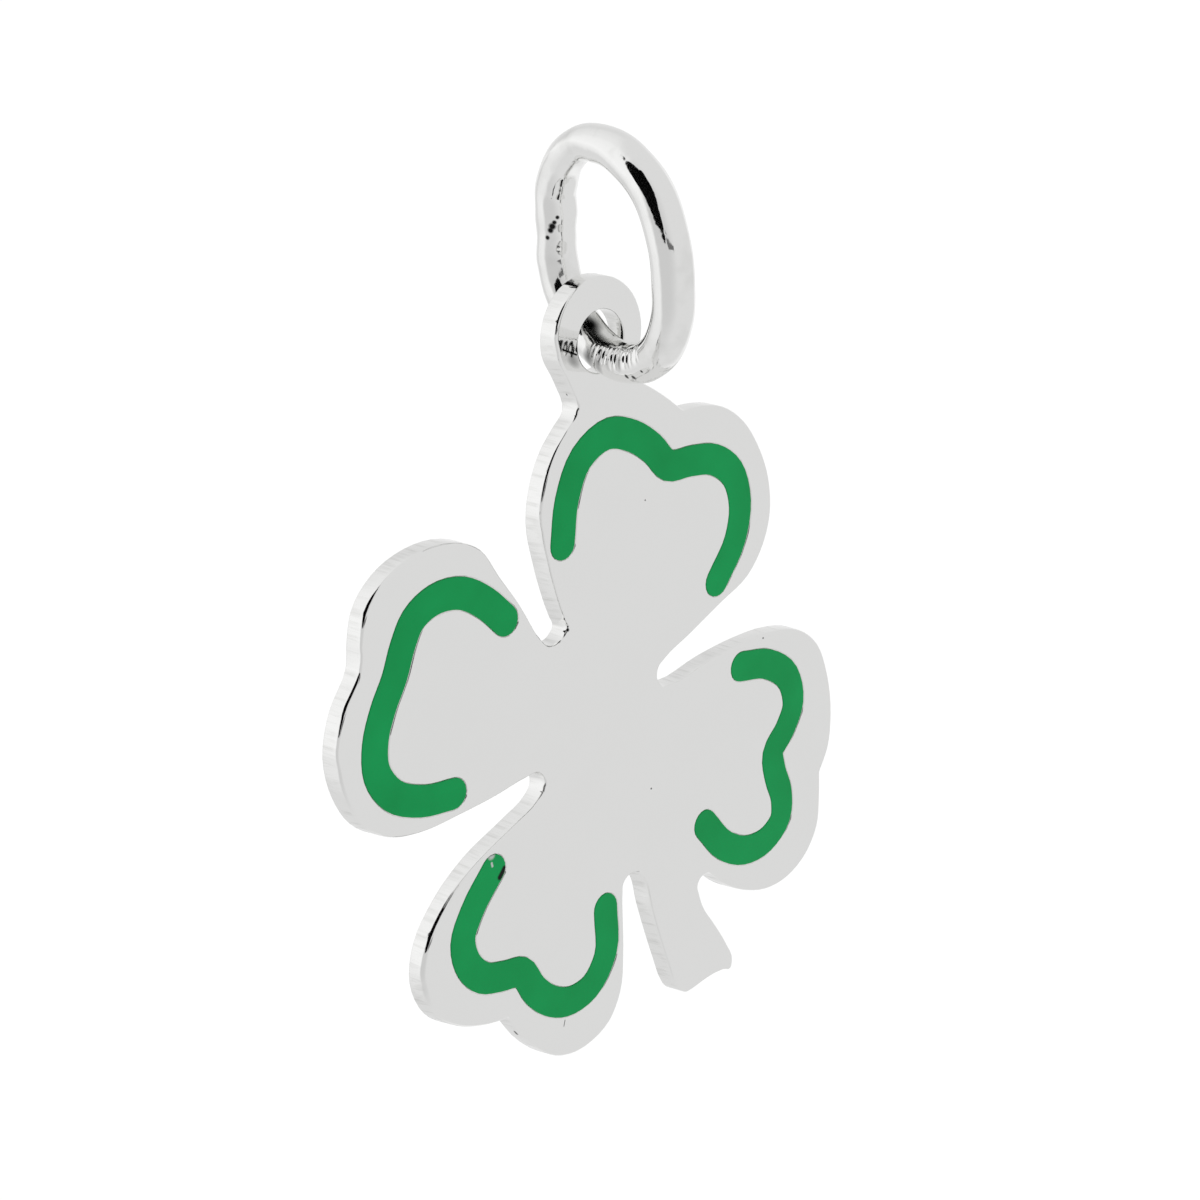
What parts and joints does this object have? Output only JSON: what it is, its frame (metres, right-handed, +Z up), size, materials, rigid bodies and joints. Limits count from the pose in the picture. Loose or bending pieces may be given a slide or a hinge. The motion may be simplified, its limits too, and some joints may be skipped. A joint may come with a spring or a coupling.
{
  "type": "four leaf clover pendant",
  "caption": "Flat polished silver clover with a short stem, green enamel channels that follow the leaves, and a round tab whose eye hangs from a closed jump ring.",
  "frame": {"origin": "inside top of the jump ring, where a chain passes through it and the pendant hangs", "axes": "+Z up as the pendant hangs, the enamelled face towards -Y, the chain along X"},
  "size_m": [0.0164, 0.0059, 0.0227],
  "materials": {
    "polished_silver": "polished",
    "green_enamel": "glossy"
  },
  "bodies": {
    "ring": {"jump_ring": "polished_silver"},
    "clover": {"clover_plate": "polished_silver", "top_leaf_enamel": "green_enamel", "right_leaf_enamel": "green_enamel", "bottom_leaf_enamel": "green_enamel", "left_leaf_enamel": "green_enamel"}
  },
  "joints": [
    {"name": "clover_swing", "type": "hinge", "parent": "ring", "child": "clover", "pos_m": [0.00062, 0.00098, -0.00423], "axis": [0, 1, 0], "range_deg": [-110, 135]}
  ]
}
